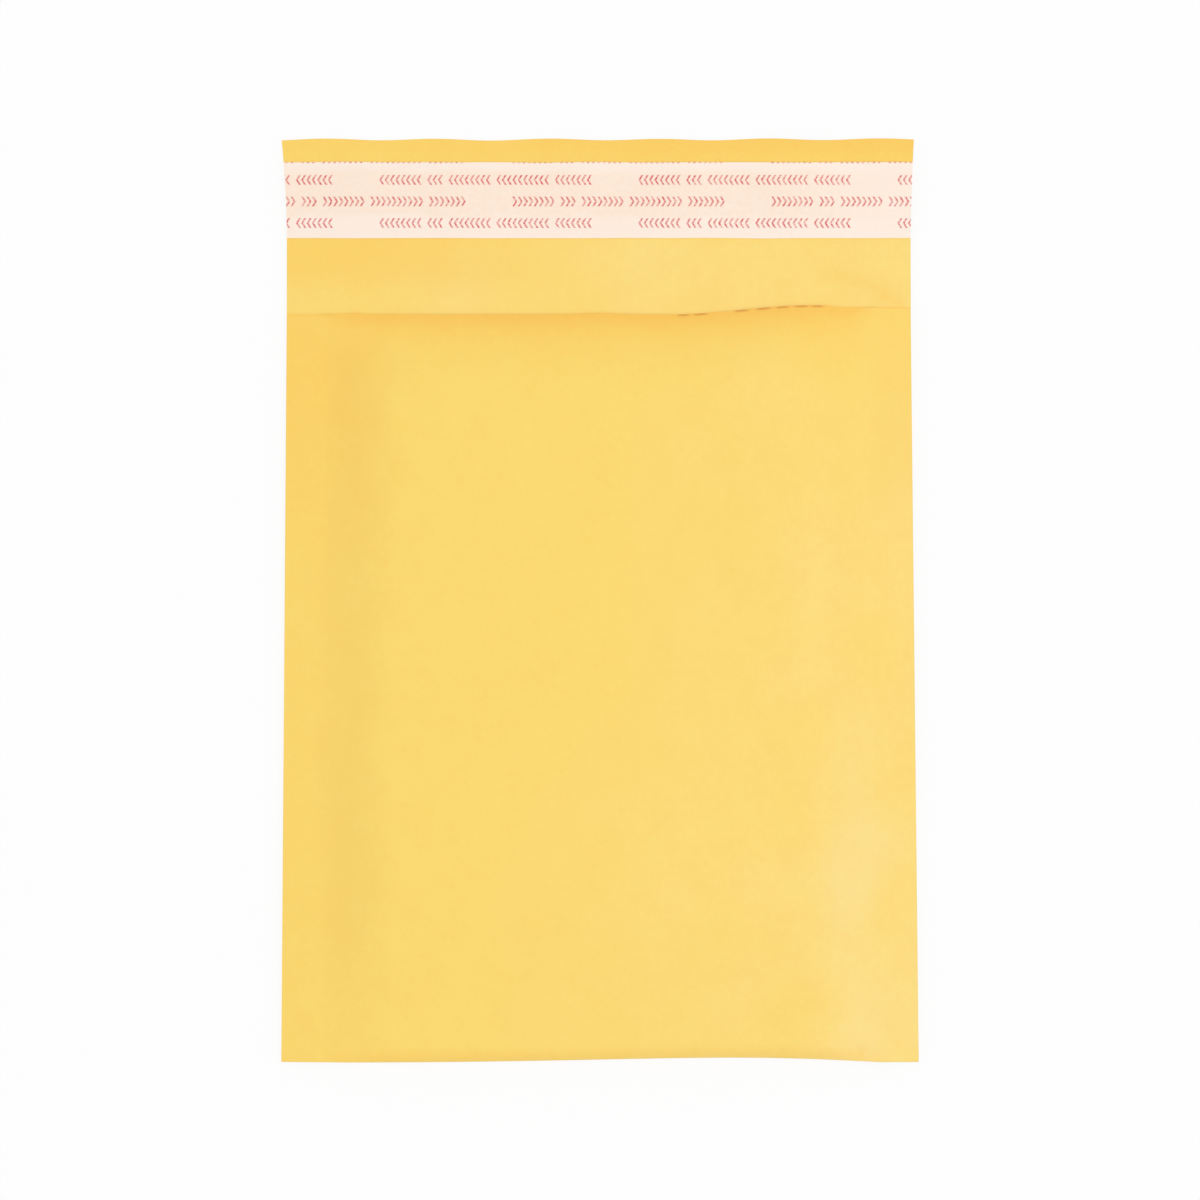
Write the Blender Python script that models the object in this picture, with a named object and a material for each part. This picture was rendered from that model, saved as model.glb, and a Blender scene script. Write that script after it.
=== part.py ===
"""A self-seal bubble mailer. It lies on its back with the mouth open and the flap spread flat, liner on.

Metres, +Z up. X runs across the mailer, Y along it from the bottom fold to the flap's free edge.
One kraft sheet is folded at the bottom into front, back and flap. A bubble-film bag lines it. Sheet
and bag are sealed together down both sides, so the seams are flat and the pocket between them is full.
"""

import math

import bmesh
import bpy
from mathutils import Vector
from mathutils.geometry import delaunay_2d_cdt

# Outline, seen from above
BOTTOM_Y = -0.1099  # bottom fold at the side seams
TOP_Y = 0.10958  # flap's free edge, middle of its ripple
MOUTH_Y = 0.0678  # front panel's cut edge at the left seam
BOTTOM_HALF_WIDTH = 0.0758
MOUTH_HALF_WIDTH = {-1: 0.0745, 1: 0.0739}  # left and right of the waist
MEAN_HALF_WIDTH = (BOTTOM_HALF_WIDTH + MOUTH_HALF_WIDTH[-1]) / 2
CORNER_FLARE = {-1: 0.0013, 1: 0.0008}  # flap corners past the waist
FLARE_LENGTH = 0.0246
EDGE_RIPPLE = 0.00025
EDGE_RIPPLE_PITCH = 0.026
EDGE_RIPPLE_SHIFT = 0.019
BOTTOM_PULL = 0.00115  # the padded fold draws the bottom edge in between the seams
PULL_SPAN = (-0.064, 0.067)
PULL_SKEW = 2.2
MOUTH_RISE = 0.0022  # the mouth edge climbs toward the right seam
MOUTH_RISE_SPAN = (0.017, 0.050)
MOUTH_STEP = 0.0005  # and drops this much where it meets that seam
MOUTH_STEP_SPAN = (0.052, 0.058)

# Side seams
SEAM_WIDTH = 0.0085
SEAM_LIFT = 0.0022  # underside of the seam above the table, at its inner line
SEAM_DROOP = 0.0012  # lower at the outer edge by this much

# Padding
PILLOW_HEIGHT = 0.0127  # front face above the table in the middle
SHOULDER_WIDTH = 0.018  # seam line to the end of the quick rise over the first bubbles
SHOULDER_SHARE = 0.6  # of the height; the rest is a long slow crown
CROWN_WIDTH = MEAN_HALF_WIDTH - SEAM_WIDTH
RIGHT_SLOPE_EXTRA = 0.009  # the right shoulder is wider than that near the mouth
RIGHT_SLOPE_SPAN = (0.005, 0.060)
SLOPE_SHARPNESS = 0.7
BACK_SLOPE_WIDTH = 0.012
FOLD_FULLNESS = 0.40  # share of the front's rise that is left right at the bottom fold
FOLD_REACH = 0.040  # bottom fold to the full height
MOUTH_DIP = 0.33  # share of the rise lost at the mouth's edge
MOUTH_REACH = 0.013
MOUTH_LIFT = 0.0026  # the seams draw the back panel up this much at the mouth
MOUTH_LIFT_REACH = 0.016
MOUTH_LIFT_SIDE = 0.024  # seam line to the full lift

# Bottom fold
FOLD_DEPTH = 0.0035  # how far the rounding of the padded fold reaches up the panels
FOLD_NOSE_Z = 0.0034
SEAM_FOLD_DEPTH = 0.0009
FOLD_BLEND = 0.008

# Sheets and the clearances between them
PAPER = 0.00025
CLEARANCE = 0.0003
FILM = 0.00035
SEAM_FILM = 0.0004  # both plies of the bag fused
ADHESIVE = 0.00015
LINER = 0.00012
BAG_INSET = PAPER + CLEARANCE
POCKET_INSET = BAG_INSET + FILM
SEAM_THICKNESS = 2 * BAG_INSET + SEAM_FILM
FRONT_RISE = PILLOW_HEIGHT - SEAM_LIFT - SEAM_THICKNESS
BAG_SETBACK = 0.0010  # bag's rim behind the front panel's edge
BAG_SIDE_SETBACK = 0.0004

# Flap
FLAP_ARCH = 0.0015
FLAP_CREST_SPAN = (0.030, 0.0345)  # from the mouth, where the arch is highest
FLAP_SETTLE = 0.020  # the raised sides of the back panel lie down over this length
FLAP_RIPPLE = 0.00035
LINER_WIDTH = 0.018
LINER_EDGE_GAP = 0.0055  # liner to the flap's free edge
LINER_Y = (TOP_Y - LINER_EDGE_GAP - LINER_WIDTH, TOP_Y - LINER_EDGE_GAP)
LINER_GRIP = 0.0031  # dry margin of the liner toward the mouth, to peel it by
LINER_DRY_EDGE = 0.0005
ADHESIVE_Y = (LINER_Y[0] + LINER_GRIP, LINER_Y[1] - LINER_DRY_EDGE)
ADHESIVE_SIDE_SETBACK = 0.0012
STRIP_INTERVALS = 4

# Bubbles
BUBBLE_RADIUS = 0.0051
BUBBLE_TOP_RADIUS = 0.0034
BUBBLE_HEIGHT = 0.0025
BUBBLE_PITCH = 0.0125
BUBBLE_SIDES = 6
BUBBLE_LEAST_HEIGHT = 0.0006
BUBBLE_APART = 0.0005  # least space between facing bubbles where the padding thins out
POCKET_SIDE_GAP = 0.0025  # film left between the seam line and the pocket
POCKET_FOLD_GAP = 0.0026  # and between the fold and the pocket
BUBBLE_MARGIN = 0.0005
RIM_MARGIN = 0.0046  # bubbles cut through at the rim have lost their air
POCKET_OVERRUN = 0.006  # the hollow is cut out this far past the mouth
SLOPE_ROWS = (0.0050, 0.0080, 0.0115)  # in from the seam, where the film between bubbles bends
RIM_ROWS = (0.0004, 0.0020, 0.0045, 0.0080, 0.0120, 0.0160)  # back from the rim, likewise
SUPPORT_STEP = 0.0052
SUPPORT_CLEARANCE = 0.0007  # from such a point to the foot of a bubble
POCKET_SIDE_INTERVALS = 24
POCKET_END_INTERVALS = 18

# Where the sheets bend, as distances in from the side edge, up from the fold and down from the mouth
COLUMNS = (0.0, 0.0085, 0.0108, 0.0135, 0.0165, 0.0200, 0.0240, 0.0285, 0.0340, 0.0410, 0.0550)
FOLD_ANGLES = (0.0, 22.5, 45.0, 67.5)
ROWS_FROM_FOLD = (0.0, 0.0035, 0.0080, 0.0130, 0.0180, 0.0230, 0.0290, 0.0360)
ROWS_ON_PANEL = 4
ROWS_FROM_MOUTH = (0.0160, 0.0100, 0.0072, 0.0045, 0.0022)
FLAP_ROWS = (0.0035, 0.0085, 0.0140, 0.0200, 0.0260, 0.0310, 0.0350, 0.0372, 0.0394)


def clear_scene():
    for obj in list(bpy.data.objects):
        bpy.data.objects.remove(obj, do_unlink=True)


def smooth(t):
    t = min(max(t, 0.0), 1.0)
    return t * t * (3 - 2 * t)


def mix(a, b, t):
    return a + (b - a) * t


def along(span, value):
    return min(max((value - span[0]) / (span[1] - span[0]), 0.0), 1.0)


def half_width(side, y):
    """Half the outline's width on one side at this height."""
    waist = MOUTH_HALF_WIDTH[side]
    taper = (BOTTOM_HALF_WIDTH - waist) * along((MOUTH_Y, BOTTOM_Y), y)
    flare = CORNER_FLARE[side] * along((TOP_Y - FLARE_LENGTH, TOP_Y), y) ** 2
    return waist + taper + flare


def side_of(x):
    return -1 if x < 0 else 1


def across(t, y):
    """The x of a column, where t runs from -1 at the left edge to 1 at the right one."""
    return t * half_width(side_of(t), y)


def bottom_y(x):
    return BOTTOM_Y + BOTTOM_PULL * math.sin(math.pi * along(PULL_SPAN, x) ** PULL_SKEW)


def mouth_y(x):
    rise = MOUTH_RISE * smooth(along(MOUTH_RISE_SPAN, x))
    return MOUTH_Y + rise - MOUTH_STEP * smooth(along(MOUTH_STEP_SPAN, x))


def ripple_turn(x):
    return 2 * math.pi * (x + EDGE_RIPPLE_SHIFT) / EDGE_RIPPLE_PITCH


def top_y(x):
    return TOP_Y + EDGE_RIPPLE * math.sin(ripple_turn(x))


def inside_seam(x, y):
    """Distance in from the seam's inner line, negative on the seam itself."""
    return half_width(side_of(x), y) - SEAM_WIDTH - abs(x)


def side_rise(x, y):
    inside = max(inside_seam(x, y), 0.0)
    width = SHOULDER_WIDTH
    if x > 0:
        width += RIGHT_SLOPE_EXTRA * smooth(along(RIGHT_SLOPE_SPAN, y))
    shoulder = smooth((inside / width) ** SLOPE_SHARPNESS)
    crown = 1 - (1 - min(inside / CROWN_WIDTH, 1.0)) ** 2
    return mix(crown, shoulder, SHOULDER_SHARE)


def fullness(x, y):
    """How full the padding is at this height, between the bottom fold and the mouth."""
    from_fold = mix(FOLD_FULLNESS, 1.0, smooth((y - bottom_y(x)) / FOLD_REACH))
    dip = MOUTH_DIP * max(1 - (mouth_y(x) - y) / MOUTH_REACH, 0.0) ** 2
    return from_fold * (1 - dip)


def seam_z(x, y):
    """Underside of the seam."""
    return SEAM_LIFT + SEAM_DROOP * min(inside_seam(x, y), 0.0) / SEAM_WIDTH


def front_z(x, y):
    return seam_z(x, y) + SEAM_THICKNESS + FRONT_RISE * fullness(x, y) * side_rise(x, y)


def back_z(x, y):
    side = seam_z(x, y) * (1 - smooth(inside_seam(x, y) / BACK_SLOPE_WIDTH))
    lift = MOUTH_LIFT * smooth(1 - (mouth_y(x) - y) / MOUTH_LIFT_REACH)
    return side + lift * smooth(inside_seam(x, y) / MOUTH_LIFT_SIDE)


def flap_z(x, y):
    """Underside of the flap: it leaves the back panel, arches over and comes down at its free edge."""
    out = y - mouth_y(x)
    start, end = FLAP_CREST_SPAN
    arch = FLAP_ARCH * smooth(out / start) * (1 - smooth((out - end) / (TOP_Y - MOUTH_Y - end)))
    ripple = FLAP_RIPPLE * smooth(out / (TOP_Y - MOUTH_Y)) * (1 - math.cos(ripple_turn(x))) / 2
    return back_z(x, mouth_y(x)) * (1 - smooth(out / FLAP_SETTLE)) + arch + ripple


def steepness(surface, x, y, step=0.0004):
    """How much longer a vertical distance below this surface is than the same distance square to it."""
    dx = (surface(x + step, y) - surface(x - step, y)) / (2 * step)
    dy = (surface(x, y + step) - surface(x, y - step)) / (2 * step)
    return math.sqrt(1 + dx * dx + dy * dy)


def panel_z(x, y, face, inset):
    """Height of the front (face 1) or back (face -1) panel's outer side, or of a sheet inset from it."""
    surface = front_z if face > 0 else back_z
    return surface(x, y) - face * inset * (steepness(surface, x, y) if inset else 1.0)


def fold_blend(x, y):
    return smooth(inside_seam(x, y) / FOLD_BLEND)


def nose_z(x):
    """Height of the bottom fold's edge."""
    y = bottom_y(x)
    return mix(seam_z(x, y) + SEAM_THICKNESS / 2, FOLD_NOSE_Z, fold_blend(x, BOTTOM_Y))


def fold_depth(x):
    return mix(SEAM_FOLD_DEPTH, FOLD_DEPTH, fold_blend(x, BOTTOM_Y))


def panel_rows():
    """Shares of the way from the top of the fold's rounding to the mouth, of every row of a panel."""
    panel = MOUTH_Y - BOTTOM_Y - FOLD_DEPTH
    low = [d / panel for d in ROWS_FROM_FOLD]
    high = [1 - d / panel for d in ROWS_FROM_MOUTH]
    step = (high[0] - low[-1]) / (ROWS_ON_PANEL + 1)
    return low + [low[-1] + step * (i + 1) for i in range(ROWS_ON_PANEL)] + high


def fold_point(t, angle, face, inset):
    """A point of the bottom fold's rounding. Face is 1 for the front and -1 for the back."""
    x = across(t, BOTTOM_Y)
    depth, base = fold_depth(x), bottom_y(x)
    y = base + depth
    nose = nose_z(x)
    reach = abs(panel_z(x, y, face, inset) - nose)
    turn = math.radians(angle)
    return (x, y - (depth - inset) * math.cos(turn), nose + face * reach * math.sin(turn))


def panel_point(t, share, face, inset, setback=0.0):
    guess = across(t, mix(BOTTOM_Y, MOUTH_Y, share))
    start = bottom_y(guess) + fold_depth(guess)
    y = mix(start, mouth_y(guess) - setback, share)
    x = across(t, y)
    return (x, y, panel_z(x, y, face, inset))


def flap_point(t, share):
    x = across(t, MOUTH_Y)
    y = mix(mouth_y(x), top_y(x), share)
    x = across(t, y)
    return (x, y, flap_z(x, y))


def column_shares(setback):
    """Columns from -1 to 1, with the outermost this far in from the edge."""
    right = [1 - max(d, setback) / MEAN_HALF_WIDTH for d in COLUMNS]
    return [-t for t in right] + [0.0] + right[::-1]


def pouch_row_makers(inset, setback):
    """One function of the column for each row, from the front's mouth round the fold to the back's."""

    def panel(share, face):
        return lambda t: panel_point(t, share, face, inset, setback)

    def fold(angle, face):
        return lambda t: fold_point(t, angle, face, inset)

    shares = panel_rows() + [1.0]
    front = [panel(s, 1) for s in reversed(shares)]
    nose = [fold(a, 1) for a in reversed(FOLD_ANGLES)] + [fold(a, -1) for a in FOLD_ANGLES[1:]]
    return front + nose + [panel(s, -1) for s in shares]


def web(row_makers, columns):
    """A flat grid laid over the columns and rows, then every crossing moved to its place."""
    bm = bmesh.new()
    bmesh.ops.create_grid(bm, x_segments=len(columns) - 1, y_segments=len(row_makers) - 1, size=1.0)
    bm.verts.ensure_lookup_table()
    for i, vert in enumerate(bm.verts):
        row, column = divmod(i, len(columns))
        vert.co = Vector(row_makers[row](columns[column]))
    return bm


def material(name, colour, roughness, alpha=1.0):
    made = bpy.data.materials.new(name)
    made.use_nodes = True
    made.diffuse_color = (*colour, 1.0)
    shader = made.node_tree.nodes["Principled BSDF"]
    shader.inputs["Base Color"].default_value = (*colour, 1.0)
    shader.inputs["Roughness"].default_value = roughness
    shader.inputs["Metallic"].default_value = 0.0
    shader.inputs["Alpha"].default_value = alpha
    return made


def link(name, bm, look):
    mesh = bpy.data.meshes.new(name)
    bm.to_mesh(mesh)
    bm.free()
    mesh.shade_smooth()
    mesh.materials.append(look)
    obj = bpy.data.objects.new(name, mesh)
    bpy.context.scene.collection.objects.link(obj)
    return obj


def closed_shell(name, bm, look):
    bmesh.ops.recalc_face_normals(bm, faces=bm.faces)
    return link(name, bm, look)


def sheet(name, bm, look, thickness):
    """An open sheet turned so that its first face looks up, and thickened below that side."""
    bm.faces.ensure_lookup_table()
    bm.normal_update()
    if bm.faces[0].normal.z < 0:
        bmesh.ops.reverse_faces(bm, faces=bm.faces)
    obj = link(name, bm, look)
    solid = obj.modifiers.new("thickness", "SOLIDIFY")
    solid.thickness = thickness
    solid.offset = -1.0
    solid.use_even_offset = True
    return obj


def kraft_paper():
    """Front panel, bottom fold, back panel and flap: one sheet, its outer side modelled."""
    flap_shares = [d / (TOP_Y - MOUTH_Y) for d in FLAP_ROWS] + [1.0]
    rows = pouch_row_makers(0.0, 0.0)
    rows += [lambda t, share=share: flap_point(t, share) for share in flap_shares]
    bm = web(rows, column_shares(0.0))
    return sheet("kraft_paper", bm, material("kraft_paper", (0.98, 0.68, 0.18), 0.75), PAPER)


def bag_body():
    """The bag before its pocket is cut: two skins that meet in the fused seams."""
    columns = column_shares(BAG_SIDE_SETBACK)
    rows = pouch_row_makers(BAG_INSET, BAG_SETBACK)
    bm = web(rows, columns)
    bm.verts.ensure_lookup_table()
    last, width = len(rows) - 1, len(columns)

    def vert(row, column):
        return bm.verts[row * width + column]

    for row in range(last // 2):
        for column in (0, width - 1):
            corners = [vert(r, column) for r in (row, row + 1, last - row - 1, last - row)]
            bm.faces.new(list(dict.fromkeys(corners)))
    for column in range(width - 1):
        bm.faces.new([vert(0, column), vert(0, column + 1), vert(last, column + 1), vert(last, column)])
    return closed_shell("bubble_lining", bm, material("bubble_film", (0.86, 0.88, 0.88), 0.25))


def pocket_face(x, y, face):
    """The film's pocket side, without its bubbles."""
    depth = fold_depth(x)
    up = y - bottom_y(x)
    if up >= depth:
        return panel_z(x, min(y, mouth_y(x)), face, POCKET_INSET)
    reach = abs(panel_z(x, bottom_y(x) + depth, face, POCKET_INSET) - nose_z(x))
    return nose_z(x) + face * reach * math.sqrt(1 - (1 - up / depth) ** 2)


def pocket_half(side, y):
    return half_width(side, y) - SEAM_WIDTH - POCKET_SIDE_GAP


def pocket_outline():
    """Corners of the pocket seen from above, out past the mouth, in order round it."""
    low = BOTTOM_Y + BOTTOM_PULL + POCKET_FOLD_GAP
    high = MOUTH_Y + POCKET_OVERRUN
    heights = [mix(low, high, i / POCKET_SIDE_INTERVALS) for i in range(POCKET_SIDE_INTERVALS + 1)]
    between = [i / POCKET_END_INTERVALS for i in range(1, POCKET_END_INTERVALS)]
    left = [(-pocket_half(-1, y), y) for y in reversed(heights)]
    right = [(pocket_half(1, y), y) for y in heights]
    bottom = [(mix(left[-1][0], right[0][0], share), low) for share in between]
    top = [(mix(right[-1][0], left[0][0], share), high) for share in between]
    return left + bottom + right + top


def bubble_height(x, y):
    """Full in the middle, and squeezed where the padding thins out toward a seam or the fold."""
    apart = pocket_face(x, y, 1) - pocket_face(x, y, -1) - BUBBLE_APART
    return min(BUBBLE_HEIGHT, apart / 2)


def ring(x, y, radius):
    turns = [2 * math.pi * (i + 0.5) / BUBBLE_SIDES for i in range(BUBBLE_SIDES)]
    return [(x + radius * math.cos(a), y + radius * math.sin(a)) for a in turns]


def bubble_fits(x, y):
    if y + BUBBLE_RADIUS > mouth_y(x) - BAG_SETBACK - RIM_MARGIN:
        return False
    rim = ring(x, y, BUBBLE_RADIUS)
    if any(abs(u) > pocket_half(side_of(u), v) - BUBBLE_MARGIN for u, v in rim):
        return False
    top = ring(x, y, BUBBLE_TOP_RADIUS)
    return min(bubble_height(u, v) for u, v in top) > BUBBLE_LEAST_HEIGHT


def bubble_centres():
    row_step = BUBBLE_PITCH * math.sqrt(3) / 2
    low = BOTTOM_Y + BOTTOM_PULL + POCKET_FOLD_GAP + BUBBLE_MARGIN + BUBBLE_RADIUS
    found = []
    each_way = math.ceil(BOTTOM_HALF_WIDTH / BUBBLE_PITCH)
    for row in range(int((MOUTH_Y - low) / row_step) + 2):
        y = low + row * row_step
        for column in range(-each_way, each_way + 1):
            x = BUBBLE_PITCH * (column + 0.5 * (row % 2))
            if bubble_fits(x, y):
                found.append((x, y))
    return found


def support_points(centres):
    """Points between the bubbles that keep the film's thickness where the padding slopes or dips."""
    spots = []
    for i in range(int((MOUTH_Y - BOTTOM_Y - 2 * FOLD_DEPTH) / SUPPORT_STEP)):
        y = BOTTOM_Y + 2 * FOLD_DEPTH + i * SUPPORT_STEP
        spots += [(side * (half_width(side, y) - SEAM_WIDTH - d), y) for side in (-1, 1) for d in SLOPE_ROWS]
    reach = int(pocket_half(1, MOUTH_Y) / SUPPORT_STEP)
    for i in range(-reach, reach + 1):
        x = i * SUPPORT_STEP
        spots += [(x, mouth_y(x) - BAG_SETBACK - d) for d in RIM_ROWS]
    free = BUBBLE_RADIUS + SUPPORT_CLEARANCE
    return [s for s in spots if all(math.dist(s, c) > free for c in centres)]


def pocket_space():
    """The air in the pocket, dented by the bubbles of the front and back film that face each other."""
    points, loops, lifted = pocket_outline(), [], {}
    loops.append(list(range(len(points))))
    centres = bubble_centres()
    for x, y in centres:
        for radius in (BUBBLE_RADIUS, BUBBLE_TOP_RADIUS):
            loops.append(list(range(len(points), len(points) + BUBBLE_SIDES)))
            points += ring(x, y, radius)
            if radius == BUBBLE_TOP_RADIUS:
                height = min(bubble_height(u, v) for u, v in ring(x, y, radius))
                lifted.update({i: height for i in loops[-1]})
    edges = [(loop[i - 1], loop[i]) for loop in loops for i in range(len(loop))]
    points += support_points(centres)
    flat = delaunay_2d_cdt([Vector(p) for p in points], edges, [], 1, 1e-7)
    bm = bmesh.new()
    plies = {}
    for face in (1, -1):
        plies[face] = []
        for spot, sources in zip(flat[0], flat[3]):
            bulge = lifted.get(sources[0], 0.0) if sources else 0.0
            z = pocket_face(spot.x, spot.y, face) - face * bulge
            plies[face].append(bm.verts.new((spot.x, spot.y, z)))
        for corners in flat[2]:
            bm.faces.new([plies[face][i] for i in corners])
    rim = loops[0]
    place = {sources[0]: i for i, sources in enumerate(flat[3]) if sources}
    for i in range(len(rim)):
        a, b = place[rim[i - 1]], place[rim[i]]
        bm.faces.new([plies[1][a], plies[1][b], plies[-1][b], plies[-1][a]])
    space = closed_shell("pocket_space", bm, material("air", (1.0, 1.0, 1.0), 0.5))
    space.hide_render = True
    space.display_type = "WIRE"
    return space


def bubble_lining():
    bag = bag_body()
    cut = bag.modifiers.new("pocket", "BOOLEAN")
    cut.operation = "DIFFERENCE"
    cut.solver = "EXACT"
    cut.object = pocket_space()
    return bag


def strip(name, span, setback, lift, thickness, look):
    """A band across the flap, lift above the flap's underside."""
    heights = [mix(*span, i / STRIP_INTERVALS) for i in range(STRIP_INTERVALS + 1)]

    def row(y):
        return lambda t: (across(t, y), y, flap_z(across(t, y), y) + lift + thickness)

    bm = web([row(y) for y in heights], column_shares(setback))
    return sheet(name, bm, look, thickness)


def adhesive_strip():
    look = material("hot_melt_adhesive", (0.95, 0.66, 0.35), 0.35)
    lift = PAPER + CLEARANCE
    return strip("adhesive_strip", ADHESIVE_Y, ADHESIVE_SIDE_SETBACK, lift, ADHESIVE, look)


def release_liner():
    look = material("release_liner", (0.98, 0.83, 0.74), 0.4)
    lift = PAPER + ADHESIVE + 2 * CLEARANCE
    return strip("release_liner", LINER_Y, 0.0, lift, LINER, look)


clear_scene()
kraft_paper()
bubble_lining()
adhesive_strip()
release_liner()
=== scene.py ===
"""A self-seal bubble mailer of golden kraft paper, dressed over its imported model.

It lies on its back, its mouth nearly closed and its flap spread flat, the liner still on the adhesive.
X runs across the mailer, Y from the bottom fold to the flap's free edge, Z up. Metres throughout.
"""

import math

import bpy
import numpy as np
from bpy.props import FloatProperty, FloatVectorProperty, PointerProperty
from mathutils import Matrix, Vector, noise


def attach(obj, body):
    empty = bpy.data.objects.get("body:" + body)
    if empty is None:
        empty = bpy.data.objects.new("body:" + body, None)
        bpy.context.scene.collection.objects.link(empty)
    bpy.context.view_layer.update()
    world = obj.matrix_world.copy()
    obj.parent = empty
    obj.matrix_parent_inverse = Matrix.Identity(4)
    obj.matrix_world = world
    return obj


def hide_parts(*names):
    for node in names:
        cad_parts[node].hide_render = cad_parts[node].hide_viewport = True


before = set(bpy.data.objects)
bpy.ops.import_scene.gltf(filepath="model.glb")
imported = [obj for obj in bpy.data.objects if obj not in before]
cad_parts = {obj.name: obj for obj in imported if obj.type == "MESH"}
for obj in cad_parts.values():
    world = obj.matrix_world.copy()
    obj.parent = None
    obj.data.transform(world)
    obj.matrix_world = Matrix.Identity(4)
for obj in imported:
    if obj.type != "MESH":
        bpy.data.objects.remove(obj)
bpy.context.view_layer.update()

bl_info = {
    "name": "Bubble mailer",
    "version": (1, 0, 0),
    "blender": (4, 5, 0),
    "location": "View3D > Sidebar > Mailer",
    "description": "Builds a self-seal bubble mailer from its sizes and colours",
    "category": "Object",
}

MM = 0.001
WHITE = (1.0, 1.0, 1.0, 1.0)

# The tables below are in millimetres, but for the degrees and shares that a comment names

# Half of the mailer's width, by which the columns are counted
HALF = 75.0
# Columns: distance in from the left or the right edge, and the spacing from there on
LEFT_COLUMNS = ((0, 0.9), (9.6, 0.7), (15, 1.0), (40, 1.45), (HALF, 1))
RIGHT_COLUMNS = ((0, 0.9), (9.6, 0.7), (15, 0.9), (22, 0.62), (58, 1.2), (HALF, 1))
# Where a panel's rows change their spacing: past the fold, and before the mouth
FOLD_ROWS, MOUTH_ROWS = 6.0, 8.0
# The last rows, by their distance from the mouth's cut edge
EDGE_ROWS = (0.8, 0.6, 0.4, 0.2, 0.0)
# Rows round the bottom fold, in degrees from its edge toward the panels
FOLD_ANGLES = (0.0, 11.0, 22.5, 34.0, 45.0, 56.0, 67.5, 79.0)
# Between these the padding draws the bottom edge in; the power puts most of it right of the middle
BOTTOM_PULL, PULL_POWER = (-64, 67), 2.2
# The mouth's edge: height, start and end of each step, and height, place and half width of each bump
MOUTH_STEPS = ((2.2, 17, 50), (-0.5, 52, 58))
MOUTH_BUMPS = ((0.28, -59, 3), (0.30, 0, 6))
# Centre and half length of the crimps where the mouth's edge is turned down between bubbles
CRIMPS = ((19.8, 1.3), (23.8, 1.5), (33.6, 1.5), (38.8, 1.6), (43.3, 1.4), (47.8, 1.6), (51.6, 1.3))
# Start, end, height and width of the short folds on the flap's right side, and at the bottom corners
FLAP_FOLDS = (((51, 79), (72.5, 72.3), 0.55, 1.5), ((64.5, 73.2), (74.5, 69.8), 0.35, 1.2))
CORNER_FOLDS = (
    ((-66, -109), (-38, -84), 0.34, 2.2),
    ((-62, -109), (-27, -93), 0.28, 1.9),
    ((-66, -104), (-52, -72), 0.22, 2.0),
    ((67, -109), (44, -88), 0.25, 2.2),
    ((69, -108), (59, -106), -0.45, 0.8),
)
# A fold's crest is this round, and it fades in and out over this share of its length
FOLD_CREST, FOLD_FADE = 0.15, 0.3
# The free edge's waves start here
RIPPLE_START = -19.0
# Noise that differs from side to side is read this far out to the left or right
SIDE_NOISE = 40.0
# An inset sheet follows the slope, read this far to each side, and moves by no more than this share
SLOPE_PROBE, STEEPEST = 0.4, 1.6
# The bubbles' rows lie this share of their pitch apart, and the lattice repeats at these degrees
ROW_STEP = math.sqrt(3) / 2
LATTICE_ANGLES = (90.0, 30.0, -30.0)
# Blender's noise stays within about 0.6, and this share brings it to about 1
NOISE_GAIN = 1.6


def linear(code):
    """An sRGB hex colour as linear values."""
    parts = [int(code[i : i + 2], 16) / 255 for i in (1, 3, 5)]
    return tuple(c / 12.92 if c <= 0.04045 else ((c + 0.055) / 1.055) ** 2.4 for c in parts)


def length(name, description, millimetres):
    """A length that the sidebar shows."""
    return FloatProperty(
        name=name, description=description, default=millimetres * MM,
        subtype="DISTANCE", unit="LENGTH", precision=5,
    )


def portion(name, description, value):
    """A share from 0 to 1 that the sidebar shows."""
    return FloatProperty(
        name=name, description=description, default=value, subtype="FACTOR", min=0.0, max=1.0
    )


def colour(name, description, code):
    """A colour that the sidebar shows."""
    return FloatVectorProperty(
        name=name, description=description, default=linear(code), subtype="COLOR", size=3, min=0.0, max=1.0
    )


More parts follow.
